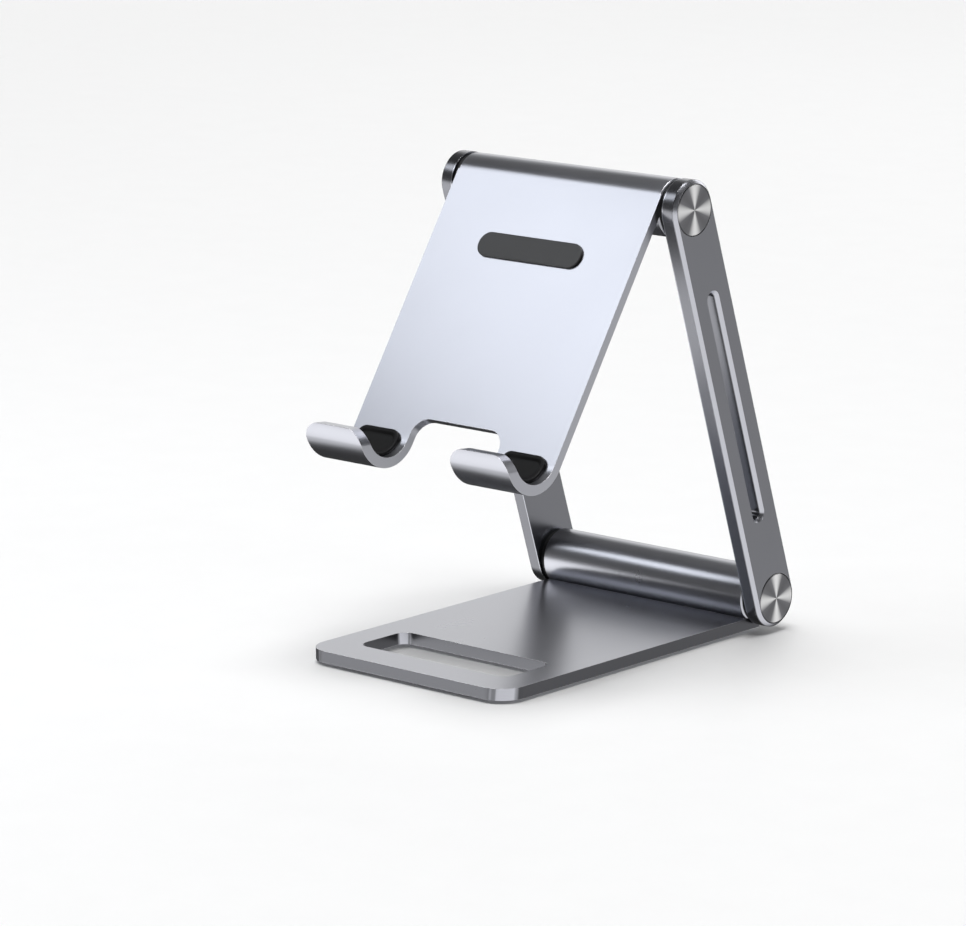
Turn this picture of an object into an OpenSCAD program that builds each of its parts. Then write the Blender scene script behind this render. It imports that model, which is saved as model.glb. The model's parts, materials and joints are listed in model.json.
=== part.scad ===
// Folding phone stand with two hinges: a base plate, a pair of slotted arms and a
// cradle with two hooks. Millimetres, +Z up, +X along the hinges, the phone faces -Y.
// The origin is on the resting plane, under the middle of the footprint.

/* [Pose] */
// Forward lean of the arms from the vertical, in degrees
arm_lean = 17.6; // [10:0.1:30]
// Forward lean of the cradle from the vertical, in degrees
cradle_lean = 33.4; // [20:0.1:45]

/* [Frame] */
// Width of the base plate, of the cradle and of both barrels
barrel_w = 62; // [56:0.1:80]
// Radius of both barrels
barrel_r = 6.85; // [6.5:0.05:6.9]
// Distance between the two hinge axes
hinge_span = 101.4; // [99:0.1:130]
// Height of the lower hinge axis above the bottom of the base plate
hinge_rise = 7.7; // [7.5:0.1:8.5]

/* [Base plate] */
// Distance from the lower hinge axis to the front edge
base_reach = 91.1; // [86:0.1:92]
// Thickness of the base plate
base_t = 2.8; // [2:0.1:4]
// Corner radius at the front of the base plate
base_corner = 6.5; // [4:0.5:9]
// Width of the window in the base plate
window_w = 46; // [30:1:48]
// Depth of the window from front to back
window_d = 16; // [10:0.5:20]
// Distance from the front edge to the window
window_inset = 9.5; // [8:0.1:12]
// Corner radius of the window
window_corner = 3; // [2:0.5:4]

/* [Arms] */
// Thickness of an arm
arm_t = 3.9; // [3.9:0.1:5]
// Half the width of an arm, which is also its end radius
arm_r = 6.95; // [6.8:0.05:7.5]
// Chamfer around the outer face of an arm
arm_chamfer = 0.85; // [0.4:0.05:1]
// Width of the slot in an arm
slot_w = 2.7; // [2:0.1:4]
// Distance from a hinge axis to the nearer end arc of the slot
slot_inset = 22.8; // [18:0.5:30]

/* [Cradle] */
// Thickness of the cradle plate
cradle_t = 2.15; // [1.8:0.05:2.4]
// Distance from the upper hinge axis down to the centre of the hooks
hook_drop = 67.9; // [60:0.1:72]
// Top of the notch between the hooks, measured down from the upper hinge axis
notch_top = 62.2; // [55:0.1:64]
// Half the width of the notch
notch_half_w = 13.6; // [10:0.1:16]
// Corner radius of the notch
notch_corner = 4.4; // [3:0.1:6]

/* [Hooks] */
// Inner radius of a hook
hook_inner_r = 7.15; // [6.5:0.05:8]
// Outer radius of a hook
hook_outer_r = 9.75; // [9.6:0.05:11]
// Angle left open between the lip and the front of the hook, in degrees
lip_gap = 28.7; // [10:0.1:40]
// Corner radius of the lips
lip_corner = 4.5; // [2:0.1:6]

/* [Hinges] */
// Radius of the hinge shafts
shaft_r = 3; // [2.5:0.1:3.5]
// Running clearance around the shafts
shaft_clear = 0.05; // [0.03:0.01:0.1]
// Thickness of the friction washers
washer_t = 1.1; // [0.5:0.1:1.2]
// Radius of the friction washers
washer_r = 6.3; // [5:0.1:6.5]
// Radius of the hinge caps
cap_r = 5.86; // [5:0.02:6]
// Height by which the caps stand proud of the arms
cap_proud = 0.1; // [0:0.05:0.3]

/* [Pads] */
// Thickness of the rubber feet below the base plate
foot_proud = 0.8; // [0.5:0.1:1.2]
// Thickness of the rubber linings in the hooks
lining_t = 0.9; // [0.5:0.1:1.2]
// Length of the grip pad on the cradle
grip_l = 31.2; // [20:0.2:44]
// Width of the grip pad
grip_w = 6.2; // [4:0.2:9]
// Distance from the upper hinge axis to the middle of the grip pad
grip_drop = 17.9; // [14:0.1:30]
// Height of the grip pad above the cradle plate
grip_proud = 0.6; // [0.4:0.1:1]

/* [Hidden] */
$fn = 96;
eps = 0.01;

grey = "#77787f";
pale_grey = "#c9ccd6";
steel = "#a9abb0";
rubber = "#2b2c2f";
nylon = "#17181b";

// Places of the two hinge axes
lower_y = (base_reach - arm_r) / 2;
lower_z = foot_proud + hinge_rise;
upper_y = lower_y - hinge_span * sin(arm_lean);
upper_z = lower_z + hinge_span * cos(arm_lean);

// Places along X, from the middle outwards
barrel_end = barrel_w / 2;
arm_in = barrel_end + washer_t;
arm_out = arm_in + arm_t;

// Chamfer on the barrel ends
barrel_chamfer = 0.35;

// Recess in the arm for the cap, and the deeper one for the screw head and its spring
cap_t = 1.1;
cap_gap = 0.2;
cap_edge = 0.15;
cap_seat = arm_out - cap_t;
arm_floor_t = 1;
spring_seat = arm_in + arm_floor_t;
head_recess_r = 4.6;
journal_end = spring_seat - 0.1;

// Hinge screw and disc spring
screw_r = 1.5;
screw_l = 9;
tap_clear = 0.05;
spring_r = 4.2;
spring_t = 0.3;
spring_rise = 0.3;
head_seat = spring_seat + spring_t + spring_rise;
head_t = 1.2;
head_r = 3.2;
hex_r = 1.15;
hex_depth = 0.8;

// Hook circles, in the cradle's own frame: y is negative towards the phone
plate_front = -barrel_r;
plate_back = plate_front + cradle_t;
hook_in_y = plate_front - hook_inner_r;
hook_out_y = plate_back - hook_outer_r;
hook_reach = 30;
lip_corner_lap = 0.05;

// Linings
lining_inset = 2.2;
lining_lead = 1.6;
lining_lip_gap = 2;
hook_w = barrel_end - notch_half_w;
lining_w = hook_w - 2 * lining_inset;

// Feet
foot_pocket = 0.3;
foot_w = 46;
foot_front_d = 5;
foot_rear_d = 9;
foot_front_y = -base_reach + window_inset / 2;
foot_rear_y = -14;

// Grip pad
grip_pocket = 0.8;

// ---- placing ----

// Puts what is drawn from the lower hinge axis forwards in its place
module base_frame() {
    translate([0, lower_y, 0]) children();
}

// Stands the arms' upright frame on the lower hinge axis
module arm_frame() {
    translate([0, lower_y, lower_z]) rotate([arm_lean, 0, 0]) children();
}

// Hangs the cradle's upright frame from the upper hinge axis
module cradle_frame() {
    translate([0, upper_y, upper_z]) rotate([-cradle_lean, 0, 0]) children();
}

// Puts what is drawn around the lower axis, or the upper one, at hinge end side (-1 or 1)
module hinge_end(upper, side) {
    arm_frame() translate([0, 0, upper ? hinge_span : 0])
        mirror([side < 0 ? 1 : 0, 0, 0]) children();
}

// Extrudes a (Y, Z) outline by w along X, about the middle
module along_x(w) {
    rotate([90, 0, 90]) linear_extrude(w, center = true) children();
}

// Turns a profile of [radius, place along X] pairs about the X axis
module turned(points) {
    rotate([90, 0, 90]) rotate_extrude() polygon(points);
}

// ---- shared shapes ----

// Barrel with chamfered ends
module barrel() {
    c = barrel_chamfer;
    turned([
        [0, -barrel_end], [barrel_r - c, -barrel_end], [barrel_r, -barrel_end + c],
        [barrel_r, barrel_end - c], [barrel_r - c, barrel_end], [0, barrel_end]
    ]);
}

// Through hole for a hinge shaft
module shaft_bore() {
    rotate([0, 90, 0]) cylinder(r = shaft_r + shaft_clear, h = barrel_w + 2, center = true);
}

// Outline with straight sides and round ends, l long in all and w wide
module pill(l, w) {
    square([l - w, w], center = true);
    for (s = [-1, 1]) translate([s * (l - w) / 2, 0]) circle(d = w);
}

// Rectangle with corners of radius r
module round_rect(l, w, r) {
    square([l - 2 * r, w], center = true);
    square([l, w - 2 * r], center = true);
    for (x = [-1, 1], y = [-1, 1]) translate([x * (l / 2 - r), y * (w / 2 - r)]) circle(r = r);
}

// ---- base ----

module base_outline() {
    r = base_corner;
    translate([-barrel_end, -base_reach + r]) square([barrel_w, base_reach - r]);
    translate([-barrel_end + r, -base_reach]) square([barrel_w - 2 * r, r + eps]);
    for (s = [-1, 1]) translate([s * (barrel_end - r), -base_reach + r]) circle(r = r);
}

module base_plate() {
    window_y = -base_reach + window_inset + window_d / 2;
    color(grey) base_frame() difference() {
        union() {
            translate([0, 0, foot_proud]) linear_extrude(base_t) base_outline();
            translate([0, 0, lower_z]) barrel();
        }
        translate([0, window_y, 0]) linear_extrude(lower_z)
            round_rect(window_w, window_d, window_corner);
        translate([0, 0, lower_z]) shaft_bore();
        foot_pockets();
    }
}

module foot_pockets() {
    for (f = [[foot_front_y, foot_front_d], [foot_rear_y, foot_rear_d]])
        translate([0, f[0], 0]) linear_extrude(foot_proud + foot_pocket) pill(foot_w, f[1]);
}

// Rubber foot, d deep from front to back
module foot_pad(y, d) {
    color(rubber) base_frame() translate([0, y, 0])
        linear_extrude(foot_proud + foot_pocket) pill(foot_w, d);
}

module foot_pad_front() {
    foot_pad(foot_front_y, foot_front_d);
}

module foot_pad_rear() {
    foot_pad(foot_rear_y, foot_rear_d);
}

// ---- arms ----

// Solid arm with its outer face chamfered all round
module arm_blank() {
    c = arm_chamfer;
    for (z = [0, hinge_span]) translate([0, 0, z]) turned([
        [0, arm_in], [arm_r, arm_in], [arm_r, arm_out - c], [arm_r - c, arm_out], [0, arm_out]
    ]);
    linear_extrude(hinge_span) polygon([
        [arm_in, -arm_r], [arm_out - c, -arm_r], [arm_out, -arm_r + c],
        [arm_out, arm_r - c], [arm_out - c, arm_r], [arm_in, arm_r]
    ]);
}

// Slot through the arm, opened out by a chamfer at the outer face
module arm_slot() {
    r = slot_w / 2;
    c = arm_chamfer;
    top = hinge_span - slot_inset;
    for (z = [slot_inset, top]) translate([0, 0, z]) turned([
        [0, arm_in - 1], [r, arm_in - 1], [r, arm_out - c], [r + c + eps, arm_out + eps], [0, arm_out + eps]
    ]);
    translate([0, 0, slot_inset]) linear_extrude(top - slot_inset) polygon([
        [arm_in - 1, -r], [arm_out - c, -r], [arm_out + eps, -r - c - eps],
        [arm_out + eps, r + c + eps], [arm_out - c, r], [arm_in - 1, r]
    ]);
}

// Stepped hole for the shaft's journal, the screw head and the cap
module arm_hinge_hole() {
    turned([
        [0, arm_in - 1], [shaft_r + shaft_clear, arm_in - 1], [shaft_r + shaft_clear, spring_seat],
        [head_recess_r, spring_seat], [head_recess_r, cap_seat], [cap_r + cap_gap, cap_seat],
        [cap_r + cap_gap, arm_out + 1], [0, arm_out + 1]
    ]);
}

module arm() {
    color(grey) difference() {
        arm_blank();
        arm_slot();
        for (z = [0, hinge_span]) translate([0, 0, z]) arm_hinge_hole();
    }
}

module arm_right() {
    arm_frame() arm();
}

module arm_left() {
    arm_frame() mirror([1, 0, 0]) arm();
}

// ---- cradle ----

// Sector of a disc from the top (0) through the front to angle a, about the hook centre
module hook_sector() {
    polygon([
        [0, 0], [hook_reach, 0], [hook_reach, -hook_reach], [-hook_reach, -hook_reach],
        [-hook_reach, -hook_reach * tan(lip_gap)]
    ]);
}

// Side outline of plate and hook, in the cradle's upright (Y, Z) frame
module cradle_profile() {
    translate([plate_front, -hook_drop]) square([cradle_t, hook_drop]);
    intersection() {
        difference() {
            translate([hook_out_y, -hook_drop]) circle(r = hook_outer_r);
            translate([hook_in_y, -hook_drop]) circle(r = hook_inner_r);
        }
        translate([hook_in_y, -hook_drop]) hook_sector();
    }
}

// Takes the notch between the hooks out of plate and hooks, from front to back
module notch() {
    r = notch_corner;
    h = notch_half_w;
    rotate([90, 0, 0]) linear_extrude(4 * hook_reach, center = true) {
        translate([-h, -hook_drop - hook_reach]) square([2 * h, hook_drop + hook_reach - notch_top - r]);
        translate([-h + r, -notch_top - r - eps]) square([2 * (h - r), r + eps]);
        for (s = [-1, 1]) translate([s * (h - r), -notch_top - r]) circle(r = r);
    }
}

// What rounding takes off the corner at the origin of a lip that lies at negative x.
// The arc meets the edges at a slight angle, which keeps the cut free of tangent faces.
module lip_corner_cut() {
    r = lip_corner;
    centre = lip_corner_lap - r;
    difference() {
        translate([-r, -r]) square([r + 1, r + 1]);
        translate([centre, centre]) circle(r = r);
    }
}

// Rounds both corners of both lips, square to the end faces of the lips
module lip_rounding() {
    for (side = [-1, 1], edge = [notch_half_w, barrel_end])
        translate([side * edge, hook_in_y, -hook_drop]) rotate([lip_gap, 0, 0])
            mirror([side * (edge - hook_w) < 0 ? 1 : 0, 0, 0]) rotate([90, 0, 0])
                linear_extrude(hook_reach) lip_corner_cut();
}

module cradle() {
    color(pale_grey) cradle_frame() difference() {
        union() {
            along_x(barrel_w) cradle_profile();
            barrel();
        }
        notch();
        lip_rounding();
        shaft_bore();
        grip_solid(plate_front - 1, plate_front + grip_pocket);
    }
}

// ---- pads on the cradle ----

// Stadium standing between two places along Y
module grip_solid(from, to) {
    translate([0, to, -grip_drop]) rotate([90, 0, 0]) linear_extrude(to - from) pill(grip_l, grip_w);
}

module grip_pad() {
    color(rubber) cradle_frame() grip_solid(plate_front - grip_proud, plate_front + grip_pocket);
}

// Curved rubber strip on the inside of one hook
module hook_lining(side) {
    r = hook_inner_r;
    color(rubber) cradle_frame() translate([side * (notch_half_w + hook_w / 2), 0, 0]) along_x(lining_w) {
        intersection() {
            translate([hook_in_y, -hook_drop]) difference() {
                circle(r = r);
                circle(r = r - lining_t);
            }
            translate([hook_in_y, -hook_drop]) rotate(lining_lip_gap) hook_sector();
            translate([-hook_reach, -hook_drop - hook_reach]) square([2 * hook_reach, hook_reach]);
        }
        translate([plate_front - lining_t, -hook_drop]) square([lining_t, lining_lead]);
    }
}

module hook_lining_left() {
    hook_lining(-1);
}

module hook_lining_right() {
    hook_lining(1);
}

// ---- hinges ----

// Steel shaft with a tapped hole in each end
module hinge_shaft() {
    color(steel) difference() {
        rotate([0, 90, 0]) cylinder(r = shaft_r, h = 2 * journal_end, center = true);
        for (s = [-1, 1]) translate([s * journal_end, 0, 0]) rotate([0, 90, 0])
            cylinder(r = screw_r + tap_clear, h = 2 * screw_l, center = true);
    }
}

module lower_shaft() {
    arm_frame() hinge_shaft();
}

module upper_shaft() {
    arm_frame() translate([0, 0, hinge_span]) hinge_shaft();
}

// Friction washer between a barrel and an arm
module friction_washer(upper, side) {
    bore = shaft_r + 2 * shaft_clear;
    color(nylon) hinge_end(upper, side) turned([
        [bore, barrel_end], [washer_r, barrel_end], [washer_r, arm_in], [bore, arm_in]
    ]);
}

// Conical disc spring: its rim bears on the arm and its hole on the screw head
module disc_spring(upper, side) {
    bore = screw_r + 4 * tap_clear;
    color(steel) hinge_end(upper, side) turned([
        [spring_r, spring_seat], [spring_r, spring_seat + spring_t],
        [bore, head_seat], [bore, head_seat - spring_t]
    ]);
}

// Low-head screw with a hexagon socket
module hinge_screw(upper, side) {
    color(steel) hinge_end(upper, side) difference() {
        turned([
            [0, journal_end - screw_l + 1], [screw_r, journal_end - screw_l + 1],
            [screw_r, head_seat], [head_r, head_seat], [head_r, head_seat + head_t],
            [0, head_seat + head_t]
        ]);
        translate([head_seat + head_t - hex_depth, 0, 0]) rotate([0, 90, 0])
            cylinder(r = hex_r, h = 2 * hex_depth, $fn = 6);
    }
}

// Spun aluminium cap, bevelled at its rim
module hinge_cap(upper, side) {
    face = arm_out + cap_proud;
    color(pale_grey) hinge_end(upper, side) turned([
        [0, cap_seat], [cap_r, cap_seat], [cap_r, face - cap_edge], [cap_r - cap_edge, face], [0, face]
    ]);
}

base_plate();
foot_pad_front();
foot_pad_rear();
arm_left();
arm_right();
cradle();
grip_pad();
hook_lining_left();
hook_lining_right();
lower_shaft();
upper_shaft();
friction_washer(false, -1);  // friction_washer_lower_left
friction_washer(false, 1);  // friction_washer_lower_right
friction_washer(true, -1);  // friction_washer_upper_left
friction_washer(true, 1);  // friction_washer_upper_right
disc_spring(false, -1);  // disc_spring_lower_left
disc_spring(false, 1);  // disc_spring_lower_right
disc_spring(true, -1);  // disc_spring_upper_left
disc_spring(true, 1);  // disc_spring_upper_right
hinge_screw(false, -1);  // hinge_screw_lower_left
hinge_screw(false, 1);  // hinge_screw_lower_right
hinge_screw(true, -1);  // hinge_screw_upper_left
hinge_screw(true, 1);  // hinge_screw_upper_right
hinge_cap(false, -1);  // hinge_cap_lower_left
hinge_cap(false, 1);  // hinge_cap_lower_right
hinge_cap(true, -1);  // hinge_cap_upper_left
hinge_cap(true, 1);  // hinge_cap_upper_right
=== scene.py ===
"""Looks of the folding phone stand: finishes, rubber parts, studio light and camera. Metres."""

import json
import math

import bmesh
import bpy
from mathutils import Matrix, Vector


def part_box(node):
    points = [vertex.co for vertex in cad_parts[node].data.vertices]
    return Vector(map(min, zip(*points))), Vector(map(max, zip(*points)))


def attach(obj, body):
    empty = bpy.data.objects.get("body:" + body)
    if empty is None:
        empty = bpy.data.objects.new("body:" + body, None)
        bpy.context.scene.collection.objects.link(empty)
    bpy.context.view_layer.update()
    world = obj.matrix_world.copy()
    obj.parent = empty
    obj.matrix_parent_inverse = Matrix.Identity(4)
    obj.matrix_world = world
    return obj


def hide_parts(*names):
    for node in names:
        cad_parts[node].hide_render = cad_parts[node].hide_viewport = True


MM = 0.001
SIDES = ("left", "right")

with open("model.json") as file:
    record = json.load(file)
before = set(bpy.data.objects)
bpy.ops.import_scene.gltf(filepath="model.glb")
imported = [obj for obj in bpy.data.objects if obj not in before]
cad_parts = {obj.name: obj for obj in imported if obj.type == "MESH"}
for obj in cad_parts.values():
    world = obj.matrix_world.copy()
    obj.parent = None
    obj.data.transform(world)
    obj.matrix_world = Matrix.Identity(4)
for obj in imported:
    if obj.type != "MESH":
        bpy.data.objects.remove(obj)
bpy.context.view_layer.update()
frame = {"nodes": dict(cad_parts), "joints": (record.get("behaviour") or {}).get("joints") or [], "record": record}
nodes = frame["nodes"]


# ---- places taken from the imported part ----

joints = {j["name"]: j for j in frame["joints"]}
mounts = {m["name"]: m for m in frame["record"]["mounts"]}
upper_axis = Vector(joints["cradle_tilt"]["pos_m"])
pad_face = Vector(mounts["phone_back_rest"]["pos_m"])
plate_normal = Vector(mounts["phone_back_rest"]["axis"]).normalized()
plate_down = Vector((0, -plate_normal.z, plate_normal.y))


def on_plate(x, drop, out):
    """The point x across the cradle, drop down its plate and out from the upper hinge axis."""
    return Vector((x, upper_axis.y, upper_axis.z)) + drop * plate_down + out * plate_normal


# ---- node helpers ----

def add(tree, kind, place=(0, 0), **values):
    """Adds a shader node; values are properties of the node, or inputs by name with _ for a space."""
    node = tree.nodes.new(kind)
    node.location = place
    for key, value in values.items():
        if hasattr(node, key):
            setattr(node, key, value)
        else:
            node.inputs[key.replace("_", " ")].default_value = value
    return node


def ramp(tree, stops, place=(0, 0)):
    """A colour ramp with stops of (position, grey or colour)."""
    node = tree.nodes.new("ShaderNodeValToRGB")
    node.location = place
    elements = node.color_ramp.elements
    while len(elements) < len(stops):
        elements.new(0.5)
    for element, (position, value) in zip(elements, stops):
        element.position = position
        element.color = (*value, 1) if isinstance(value, tuple) else (value, value, value, 1)
    return node


def new_material(name):
    """An empty node material, its tree and its main shader."""
    material = bpy.data.materials.new(name)
    material.use_nodes = True
    tree = material.node_tree
    return material, tree, tree.nodes["Principled BSDF"]


def scaled(colour, factor):
    return tuple(min(1.0, c * factor) for c in colour)


def object_noise(tree, size, detail, place):
    """Noise in object space whose blotches are about size across."""
    where = add(tree, "ShaderNodeTexCoord", (place[0] - 200, place[1]))
    noise = add(tree, "ShaderNodeTexNoise", place, Scale=1 / size, Detail=detail)
    tree.links.new(where.outputs["Object"], noise.inputs["Vector"])
    return noise


def grained_finish(name, colour, roughness, metallic, grain, grain_height, drift=0.03, spread=0.02):
    """A blasted, moulded or cast surface: fine grain, and slow drift in colour and roughness.
    Returns the material, its tree and its shader."""
    material, tree, shader = new_material(name)
    link = tree.links.new
    slow = object_noise(tree, 14 * MM, 3, (-900, 200))
    fine = object_noise(tree, grain, 2, (-900, -200))
    mixed = add(tree, "ShaderNodeMath", (-700, 100), operation="MULTIPLY_ADD")
    mixed.inputs[1].default_value = 0.35
    link(fine.outputs["Fac"], mixed.inputs[0])
    link(slow.outputs["Fac"], mixed.inputs[2])
    tint = ramp(tree, [(0.3, scaled(colour, 1 - drift)), (1.0, scaled(colour, 1 + drift))], (-500, 200))
    link(mixed.outputs[0], tint.inputs[0])
    link(tint.outputs[0], shader.inputs["Base Color"])
    rough = add(tree, "ShaderNodeMapRange", (-500, -50))
    rough.inputs["To Min"].default_value = roughness - spread
    rough.inputs["To Max"].default_value = roughness + spread
    link(slow.outputs["Fac"], rough.inputs["Value"])
    link(rough.outputs[0], shader.inputs["Roughness"])
    bump = add(tree, "ShaderNodeBump", (-300, -250), Strength=0.15, Distance=grain_height)
    link(fine.outputs["Fac"], bump.inputs["Height"])
    link(bump.outputs[0], shader.inputs["Normal"])
    shader.inputs["Metallic"].default_value = metallic
    return material, tree, shader


# ---- finishes ----

def soft_step(tree, value, low, high, place):
    """A socket that rises from 0 to 1 as value goes from low to high."""
    node = add(tree, "ShaderNodeMapRange", place, interpolation_type="SMOOTHSTEP")
    node.inputs["From Min"].default_value = low
    node.inputs["From Max"].default_value = high
    tree.links.new(value, node.inputs["Value"])
    return node.outputs["Result"]


def maths(tree, operation, a, b=0.0, place=(0, 0)):
    """A maths node on two sockets or numbers."""
    node = add(tree, "ShaderNodeMath", place, operation=operation)
    for socket, value in zip(node.inputs, (a, b)):
        if isinstance(value, (int, float)):
            socket.default_value = value
        else:
            tree.links.new(value, socket)
    return node.outputs[0]


def surface_parts(tree, output, place):
    """The x, y and z of the object's own normal or position, without their signs."""
    where = add(tree, "ShaderNodeTexCoord", place)
    parts = add(tree, "ShaderNodeSeparateXYZ", (place[0] + 200, place[1]))
    tree.links.new(where.outputs[output], parts.inputs[0])
    return [maths(tree, "ABSOLUTE", parts.outputs[axis], 0.0, (place[0] + 400, place[1])) for axis in "XYZ"]


def shade_where(tree, shader, mask, factor):
    """Multiplies the base colour by a factor where the mask is 1."""
    colour = shader.inputs["Base Color"].links[0].from_socket
    change = add(tree, "ShaderNodeMix", (-100, 400), data_type="RGBA", blend_type="MULTIPLY")
    change.clamp_result = False
    tree.links.new(mask, change.inputs["Factor"])
    tree.links.new(colour, change.inputs["A"])
    change.inputs["B"].default_value = (factor, factor, factor, 1)
    tree.links.new(change.outputs["Result"], shader.inputs["Base Color"])


def turned_finish(name, painted_highlight_colour, between_highlights_colour, roughness):
    """A turned end face: fine concentric grooves, and four bright sectors painted into its colour as painted
    highlights, with painted shade between them.
    """
    material, tree, shader = new_material(name)
    link = tree.links.new
    where = add(tree, "ShaderNodeTexCoord", (-1500, 0))
    centred = add(tree, "ShaderNodeVectorMath", (-1300, 0), operation="SUBTRACT")
    centred.inputs[1].default_value = (0.5, 0.5, 0.5)
    link(where.outputs["Generated"], centred.inputs[0])
    axes = add(tree, "ShaderNodeSeparateXYZ", (-1100, 0))
    link(centred.outputs[0], axes.inputs[0])
    angle = add(tree, "ShaderNodeMath", (-900, 150), operation="ARCTAN2")
    link(axes.outputs["Z"], angle.inputs[0])
    link(axes.outputs["Y"], angle.inputs[1])
    fourfold = add(tree, "ShaderNodeMath", (-750, 150), operation="MULTIPLY")
    fourfold.inputs[1].default_value = 4
    link(angle.outputs[0], fourfold.inputs[0])
    wave = add(tree, "ShaderNodeMath", (-600, 150), operation="COSINE")
    link(fourfold.outputs[0], wave.inputs[0])
    highlight_sectors = add(tree, "ShaderNodeMapRange", (-450, 150))
    highlight_sectors.inputs["From Min"].default_value = -1
    link(wave.outputs[0], highlight_sectors.inputs["Value"])
    stops = [(0.0, between_highlights_colour), (0.45, scaled(between_highlights_colour, 1.3)), (1.0, painted_highlight_colour)]
    tint = ramp(tree, stops, (-300, 150))
    link(highlight_sectors.outputs[0], tint.inputs[0])
    link(tint.outputs[0], shader.inputs["Base Color"])
    flat = add(tree, "ShaderNodeCombineXYZ", (-900, -150))
    link(axes.outputs["Y"], flat.inputs["Y"])
    link(axes.outputs["Z"], flat.inputs["Z"])
    radius = add(tree, "ShaderNodeVectorMath", (-750, -150), operation="LENGTH")
    link(flat.outputs[0], radius.inputs[0])
    grooves = add(tree, "ShaderNodeTexNoise", (-600, -150), noise_dimensions="1D", Scale=90, Detail=3)
    link(radius.outputs["Value"], grooves.inputs["W"])
    bump = add(tree, "ShaderNodeBump", (-300, -200), Strength=0.25, Distance=0.01 * MM)
    link(grooves.outputs["Fac"], bump.inputs["Height"])
    link(bump.outputs[0], shader.inputs["Normal"])
    rough = add(tree, "ShaderNodeMapRange", (-300, -50))
    rough.inputs["To Min"].default_value = roughness - 0.05
    rough.inputs["To Max"].default_value = roughness + 0.05
    link(grooves.outputs["Fac"], rough.inputs["Value"])
    link(rough.outputs[0], shader.inputs["Roughness"])
    tangent = add(tree, "ShaderNodeTangent", (-300, -400), direction_type="RADIAL", axis="X")
    link(tangent.outputs[0], shader.inputs["Tangent"])
    shader.inputs["Anisotropic"].default_value = 0.8
    shader.inputs["Metallic"].default_value = 1
    return material


SPACE_GREY = (0.34, 0.345, 0.375)
BARE_ALUMINIUM = (0.80, 0.80, 0.82)
RUBBER_GRAIN = (0.12 * MM, 0.012 * MM)

# How much brighter or darker than the anodised colour each kind of face is painted: a painted highlight on the
# chamfers, painted shade on the arm sides and slots, the flat arm faces and the base sides; the cradle sides
# lighter
CHAMFER_PAINTED_HIGHLIGHT = 2.0
ARM_SIDE_PAINTED_SHADE = 0.45
ARM_FACE_PAINTED_SHADE = 0.63
BASE_SIDE_PAINTED_SHADE = 0.28
CRADLE_SIDE_SHADE = 1.3

GRAIN = 0.16 * MM
GRAIN_HEIGHT = 0.004 * MM
ARM_INSIDE = 32.4 * MM
ARM_OUTSIDE = 35.3 * MM
BASE_TOP = 3.7 * MM
BLEND = 0.1 * MM


def frame_finish(name, roughness):
    """Anodised frame, with light and shade painted into its colour: a painted highlight on the chamfers, and
    painted shade on the arm sides and in the slots, on the flat faces that face sideways above the base, and on
    the side faces of the base.
    """
    material, tree, shader = grained_finish(name, SPACE_GREY, roughness, 1, GRAIN, GRAIN_HEIGHT)
    across, along, _ = surface_parts(tree, "Normal", (-1700, 700))
    out, _, up = surface_parts(tree, "Object", (-1700, 1000))

    def shade_both(a, b, factor, place):
        shade_where(tree, shader, maths(tree, "MULTIPLY", a, b, place), factor)

    # Painted highlight: chamfers that lean half sideways are painted twice as bright
    rises = soft_step(tree, across, 0.45, 0.5, (-1000, 700))
    falls = soft_step(tree, across, 0.95, 0.9, (-1000, 600))
    shade_both(rises, falls, CHAMFER_PAINTED_HIGHLIGHT, (-800, 650))
    # Painted shade on the arm sides and in the slots, between the arm's inner and outer planes
    rises = soft_step(tree, out, ARM_INSIDE - BLEND, ARM_INSIDE, (-1000, 1000))
    falls = soft_step(tree, out, ARM_OUTSIDE, ARM_OUTSIDE - BLEND, (-1000, 900))
    shade_both(rises, falls, ARM_SIDE_PAINTED_SHADE, (-800, 950))
    # Painted shade on the upright side faces of the base, below its top
    squarest = maths(tree, "MAXIMUM", across, along, (-1000, 1200))
    upright = soft_step(tree, squarest, 0.95, 0.98, (-800, 1200))
    low = soft_step(tree, up, BASE_TOP, BASE_TOP - BLEND, (-800, 1300))
    shade_both(upright, low, BASE_SIDE_PAINTED_SHADE, (-600, 1250))
    # Painted shade on the flat faces that face sideways above the base, such as the arms' outer faces
    flank = soft_step(tree, across, 0.95, 0.98, (-1000, 1500))
    high = soft_step(tree, up, BASE_TOP - BLEND, BASE_TOP, (-1000, 1600))
    shade_both(flank, high, ARM_FACE_PAINTED_SHADE, (-800, 1550))
    return material


def cradle_finish(name, roughness):
    """Anodised cradle: brighter cut faces at its two sides."""
    material, tree, shader = grained_finish(name, SPACE_GREY, roughness, 1, GRAIN, GRAIN_HEIGHT)
    across = surface_parts(tree, "Normal", (-1700, 700))[0]
    shade_where(tree, shader, soft_step(tree, across, 0.55, 0.62, (-1000, 700)), CRADLE_SIDE_SHADE)
    return material


finishes = {
    "anodised_frame": frame_finish("anodised_frame", 0.25),
    "anodised_cradle": cradle_finish("anodised_cradle", 0.29),
    # Spun caps: white painted highlights in four sectors, over dark grey painted shade between them
    "spun_cap": turned_finish("spun_cap", (1.0, 1.0, 1.0), (0.17, 0.17, 0.18), 0.42),
    "steel": grained_finish("steel", (0.52, 0.52, 0.54), 0.28, 1, 0.3 * MM, 0.005 * MM)[0],
    "washer_plastic": grained_finish(
        "washer_plastic", (0.008, 0.008, 0.009), 0.45, 0, 0.2 * MM, 0.01 * MM,
    )[0],
    "rubber": grained_finish("rubber", (0.012, 0.012, 0.013), 0.42, 0, *RUBBER_GRAIN)[0],
}
lining_finish, _, shader = grained_finish("lining_rubber", (0.003, 0.003, 0.0035), 0.5, 0, *RUBBER_GRAIN)
shader.inputs["Specular IOR Level"].default_value = 0.18
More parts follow.
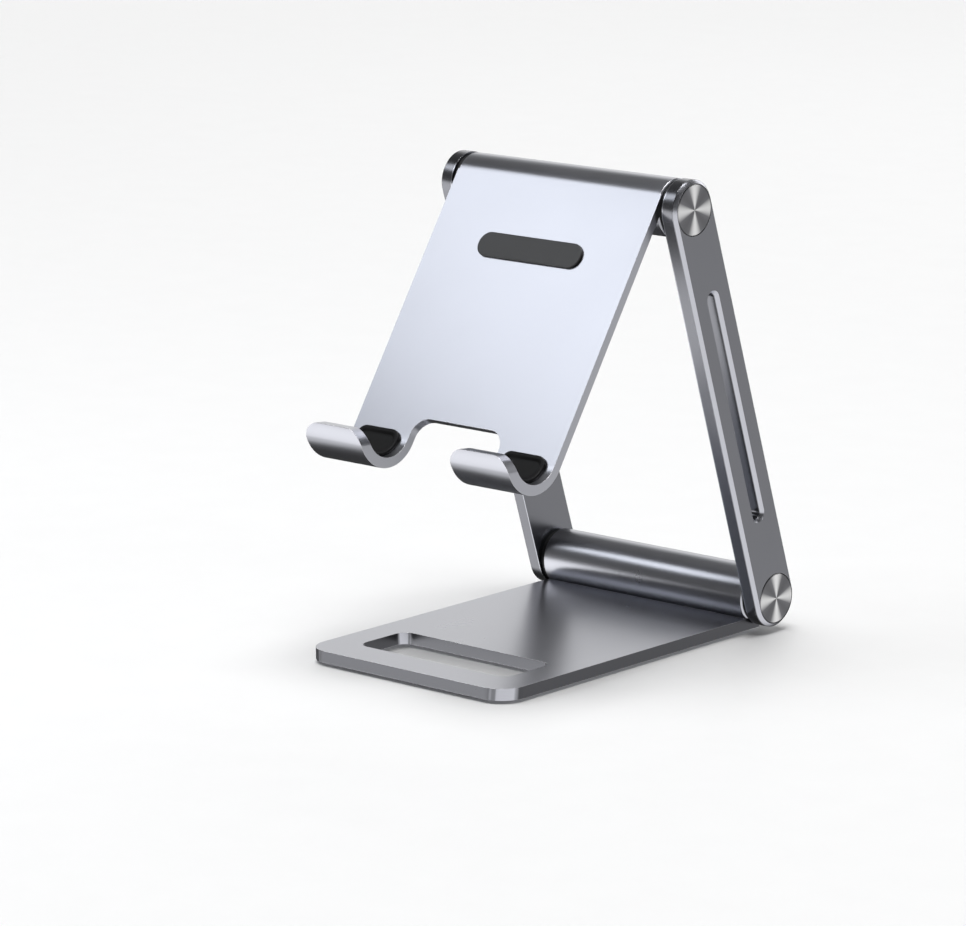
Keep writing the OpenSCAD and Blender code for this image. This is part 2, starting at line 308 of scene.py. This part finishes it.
edge_finish = grained_finish("bright_edge", BARE_ALUMINIUM, 0.22, 1, 0.2 * MM, 0.002 * MM)[0]

for node in nodes.values():
    slot = node.material_slots[0]
    slot.material = finishes[slot.material.name.split(".")[0]]
nodes["base_plate"].material_slots[0].material = frame_finish("anodised_base", 0.28)


# ---- softened edges on the CAD parts ----

EDGE_BREAK = 0.16 * MM
SHARP = math.radians(32)


def soften(node):
    """Breaks the sharp edges of a CAD part, and gives the broken edges the bright finish."""
    weld = node.modifiers.new("weld", "WELD")
    weld.merge_threshold = 0.001 * MM
    bevel = node.modifiers.new("edge_break", "BEVEL")
    bevel.width = EDGE_BREAK
    bevel.segments = 2
    bevel.limit_method = "ANGLE"
    bevel.angle_limit = SHARP
    bevel.harden_normals = False
    node.data.materials.append(edge_finish)
    bevel.material = 1
    smooth = node.modifiers.new("even_normals", "WEIGHTED_NORMAL")
    smooth.weight = 60
    smooth.keep_sharp = False


for name in ("base_plate", "cradle", "arm_left", "arm_right"):
    soften(nodes[name])


# ---- rubber parts ----

CORNER_STEPS = 12
SIDE_STEPS = 24
INSETS = [
    inset * MM for inset in
    (0, 0.02, 0.05, 0.1, 0.16, 0.24, 0.34, 0.48, 0.7, 0.9, 1.05, 1.2, 1.4, 1.8, 2.4, 3.4, 4.8)
]


def mirrored(values):
    """The values, which fall to the middle, and their mirror images beyond it."""
    return values + [0.0] + [-v for v in reversed(values)]


def strip(name, half_l, half_w, corner, profile, place, material):
    """A rubber strip with rounded corners. profile(inset) is its height at a distance from its outline,
    and place(along, across, height) is the point in the row frame."""
    straight = half_l - corner
    rows = [straight + corner * math.cos(math.pi / 2 * i / CORNER_STEPS) for i in range(CORNER_STEPS)]
    rows = mirrored(rows + [straight * (1 - i / SIDE_STEPS) for i in range(SIDE_STEPS)])
    shares = mirrored([1 - inset / half_w for inset in INSETS if inset < 0.95 * half_w])
    mesh = bmesh.new()
    for side in (1, 0):
        grid = []
        for along in rows:
            past_x = abs(along) - straight
            width = half_w - corner + math.sqrt(max(0.0, corner**2 - max(0.0, past_x) ** 2))
            line = []
            for across in (width * share for share in shares):
                past_y = abs(across) - (half_w - corner)
                outside = math.hypot(max(0.0, past_x), max(0.0, past_y)) + min(0.0, max(past_x, past_y))
                line.append(mesh.verts.new(place(along, across, side * profile(max(0.0, corner - outside)))))
            grid.append(line)
        for a, b in zip(grid, grid[1:]):
            for k in range(len(a) - 1):
                mesh.faces.new((a[k], a[k + 1], b[k + 1], b[k]))
    bmesh.ops.remove_doubles(mesh, verts=mesh.verts, dist=0.001 * MM)
    bmesh.ops.recalc_face_normals(mesh, faces=mesh.faces)
    for face in mesh.faces:
        face.smooth = True
    data = bpy.data.meshes.new(name)
    mesh.to_mesh(data)
    mesh.free()
    piece = bpy.data.objects.new(name, data)
    bpy.context.scene.collection.objects.link(piece)
    data.materials.append(material)
    return piece


def eased(t):
    t = min(1.0, max(0.0, t))
    return t * t * (3 - 2 * t)


def rounded_pad(height, edge):
    """Profile of a pad that stands up from its outline, with its top edge rounded."""
    def profile(inset):
        short = max(0.0, edge - inset)
        return height - edge + math.sqrt(edge**2 - short**2) if inset > 0 else 0.0
    return profile


# Grip pad near the top of the cradle
GRIP_PROUD = 0.6 * MM
grip_low, grip_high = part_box("grip_pad")
grip_drop = (pad_face - upper_axis).dot(plate_down)
plate_front = (pad_face - upper_axis).dot(plate_normal) - GRIP_PROUD
lean_cos, lean_sin = -plate_normal.y, plate_normal.z
grip_depth, grip_rise = grip_high.y - grip_low.y, grip_high.z - grip_low.z
grip_w = (grip_rise * lean_cos - grip_depth * lean_sin) / (lean_cos**2 - lean_sin**2)
grip = strip(
    "grip_pad_rubber", grip_high.x, grip_w / 2, 0.49 * grip_w, rounded_pad(GRIP_PROUD, 0.18 * MM),
    lambda along, across, height: on_plate(along, grip_drop + across, plate_front + height),
    finishes["rubber"],
)
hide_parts("grip_pad")
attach(grip, "cradle")

# Linings of the hooks, bent round the inside of each hook, with a raised rim
HOOK_DROP = 67.9 * MM
HOOK_INNER_R = 7.15 * MM
LINING_T = 0.9 * MM
LINING_RIM = 0.95 * MM
LINING_SUNK = 0.28 * MM
LINING_LEAD = 1.6 * MM
LINING_TURN = math.radians(149.3)
LINING_CORNER = 2.6 * MM


def lining_profile(inset):
    edge = rounded_pad(LINING_T, 0.3 * MM)(inset)
    return edge - LINING_SUNK * eased((inset - LINING_RIM) / (0.35 * MM))


def in_hook(middle, half_l):
    """Bends a flat strip down the plate and round the inside of a hook."""
    def place(along, across, height):
        turn = (along + half_l - LINING_LEAD) / HOOK_INNER_R
        if turn < 0:
            return on_plate(middle + across, HOOK_DROP + turn * HOOK_INNER_R, plate_front + height)
        r = HOOK_INNER_R - height
        drop = HOOK_DROP + r * math.sin(turn)
        return on_plate(middle + across, drop, plate_front + HOOK_INNER_R - r * math.cos(turn))
    return place


for side in SIDES:
    low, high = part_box("hook_lining_" + side)
    half_l = (LINING_LEAD + HOOK_INNER_R * LINING_TURN) / 2
    lining = strip(
        "hook_lining_rubber_" + side, half_l, (high.x - low.x) / 2, LINING_CORNER,
        lining_profile, in_hook((low.x + high.x) / 2, half_l), lining_finish,
    )
    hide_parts("hook_lining_" + side)
    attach(lining, "cradle")

# Feet under the base plate
base_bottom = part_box("base_plate")[0].z
for end in ("front", "rear"):
    low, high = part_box("foot_pad_" + end)
    middle = (low.y + high.y) / 2
    half_w = (high.y - low.y) / 2
    foot = strip(
        "foot_rubber_" + end, high.x, half_w, 0.98 * half_w, rounded_pad(base_bottom, 0.3 * MM),
        lambda along, across, height: Vector((along, middle + across, base_bottom - height)),
        finishes["rubber"],
    )
    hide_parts("foot_pad_" + end)
    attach(foot, "base")


# ---- studio ----

def direction(azimuth, elevation):
    """Unit vector towards an azimuth, in degrees from -Y towards +X, and an elevation."""
    a, e = math.radians(azimuth), math.radians(elevation)
    return Vector((math.sin(a) * math.cos(e), -math.cos(a) * math.cos(e), math.sin(e)))


def softbox(name, azimuth, elevation, distance, width, height, radiance, colour=(1, 1, 1)):
    """A rectangular softbox that faces the middle of the object."""
    data = bpy.data.lights.new(name, "AREA")
    data.shape = "RECTANGLE"
    data.size = width
    data.size_y = height
    data.energy = radiance * math.pi * width * height
    data.color = colour
    light = bpy.data.objects.new(name, data)
    towards = direction(azimuth, elevation)
    light.location = Vector((0, 0, 0.055)) + distance * towards
    light.rotation_euler = towards.to_track_quat("Z", "Y").to_euler()
    bpy.context.scene.collection.objects.link(light)
    return light


softbox("key", -50, 41, 0.75, 0.34, 0.20, 3.8, (0.93, 0.96, 1.0))
softbox("overhead", 0, 89, 3.0, 2.4, 2.4, 5.3)
softbox("fill_right", 100, 20, 1.2, 0.6, 0.5, 1.6)
softbox("rim_back", 200, 35, 1.2, 0.7, 0.4, 1.2)


def sky_range(value, start, end, low, high, place=(0, 0)):
    """Maps a socket smoothly from start..end to low..high."""
    node = add(sky, "ShaderNodeMapRange", place, interpolation_type="SMOOTHSTEP")
    for name, number in (("From Min", start), ("From Max", end), ("To Min", low), ("To Max", high)):
        node.inputs[name].default_value = number
    sky.links.new(value, node.inputs["Value"])
    return node.outputs["Result"]


world = bpy.data.worlds.new("studio")
bpy.context.scene.world = world
world.use_nodes = True
sky = world.node_tree
where = add(sky, "ShaderNodeTexCoord", (-1300, 0))
split = add(sky, "ShaderNodeSeparateXYZ", (-1100, 0))
sky.links.new(where.outputs["Generated"], split.inputs[0])
# Walls: pale up to eye level and dark above, darker in front than behind, darker on the right
height = maths(sky, "MULTIPLY_ADD", split.outputs["Z"], 0.5, (-900, 100))
height.node.inputs[2].default_value = 0.5
WALL_STOPS = [(0.48, 0.0), (0.5, 0.7), (0.57, 1.2), (0.66, 1.15), (0.71, 0.85), (0.80, 0.1), (1.0, 0.08)]
walls = ramp(sky, WALL_STOPS, (-700, 100))
sky.links.new(height, walls.inputs[0])
behind = sky_range(split.outputs["Y"], -0.5, 0.5, 0.16, 1.1, (-700, -150))
walls = maths(sky, "MULTIPLY", walls.outputs[0], behind, (-400, 100))
left = sky_range(split.outputs["X"], -0.1, 0.6, 1.0, 0.35, (-700, -280))
walls = maths(sky, "MULTIPLY", walls, left, (-300, 50))
# Ground: dark on the left, pale on the right, and a bright patch in front on the left
PATCH_MIDDLE = (-41, -19)
PATCH_OUTER = math.radians(38)
PATCH_INNER = math.radians(15)
ground = sky_range(split.outputs["X"], -0.3, 0.4, 0.06, 0.8, (-700, -400))
near_patch = add(sky, "ShaderNodeVectorMath", (-900, -650), operation="DOT_PRODUCT")
near_patch.inputs[1].default_value = direction(*PATCH_MIDDLE)
sky.links.new(where.outputs["Generated"], near_patch.inputs[0])
patch_edges = (math.cos(PATCH_OUTER), math.cos(PATCH_INNER))
patch = sky_range(near_patch.outputs["Value"], *patch_edges, 0, 2.4, (-700, -650))
below = sky_range(split.outputs["Z"], -0.08, -0.02, 1, 0, (-400, -650))
ground = maths(sky, "ADD", ground, patch, (-400, -400))
ground = maths(sky, "MULTIPLY", ground, below, (-200, -300))
sky.links.new(maths(sky, "ADD", walls, ground), sky.nodes["Background"].inputs["Color"])


# ---- floor ----

FLOOR_HALF = 6
floor_mesh = bmesh.new()
bmesh.ops.create_grid(floor_mesh, x_segments=1, y_segments=1, size=FLOOR_HALF)
floor_data = bpy.data.meshes.new("floor")
floor_mesh.to_mesh(floor_data)
floor_mesh.free()
floor = bpy.data.objects.new("floor", floor_data)
bpy.context.scene.collection.objects.link(floor)
floor_finish, tree, shader = grained_finish(
    "pale_floor", (0.84, 0.84, 0.84), 0.75, 0, 2 * MM, 0.02 * MM, 0.01,
)
# The floor pales towards a white surround away from the object
where = add(tree, "ShaderNodeTexCoord", (-900, -600))
away = add(tree, "ShaderNodeVectorMath", (-700, -600), operation="LENGTH")
tree.links.new(where.outputs["Object"], away.inputs[0])
far = soft_step(tree, away.outputs["Value"], 0.3, 3.5, (-500, -600))
glow = maths(tree, "MULTIPLY", far, 0.75, (-300, -600))
tree.links.new(glow, shader.inputs["Emission Strength"])
shader.inputs["Emission Color"].default_value = (1, 1, 1, 1)
floor_data.materials.append(floor_finish)
floor.visible_glossy = False
floor.visible_shadow = False


# ---- camera ----

CAMERA_AIM = Vector((-19.88, 1.13, 40.25)) * MM
CAMERA_AZIMUTH = 41.88
CAMERA_ELEVATION = 12.43
CAMERA_DISTANCE = 1.1248
CAMERA_ROLL = math.radians(-0.46)
CAMERA_LENS = 177.6

camera_data = bpy.data.cameras.new("camera")
camera_data.lens = CAMERA_LENS
camera_data.clip_end = 30
camera = bpy.data.objects.new("camera", camera_data)
towards = direction(CAMERA_AZIMUTH, CAMERA_ELEVATION)
turn = towards.to_track_quat("Z", "Y").to_matrix() @ Matrix.Rotation(CAMERA_ROLL, 3, "Z")
camera.matrix_world = Matrix.Translation(CAMERA_AIM + CAMERA_DISTANCE * towards) @ turn.to_4x4()
bpy.context.scene.collection.objects.link(camera)
bpy.context.scene.camera = camera
bpy.context.scene.view_settings.view_transform = "Standard"
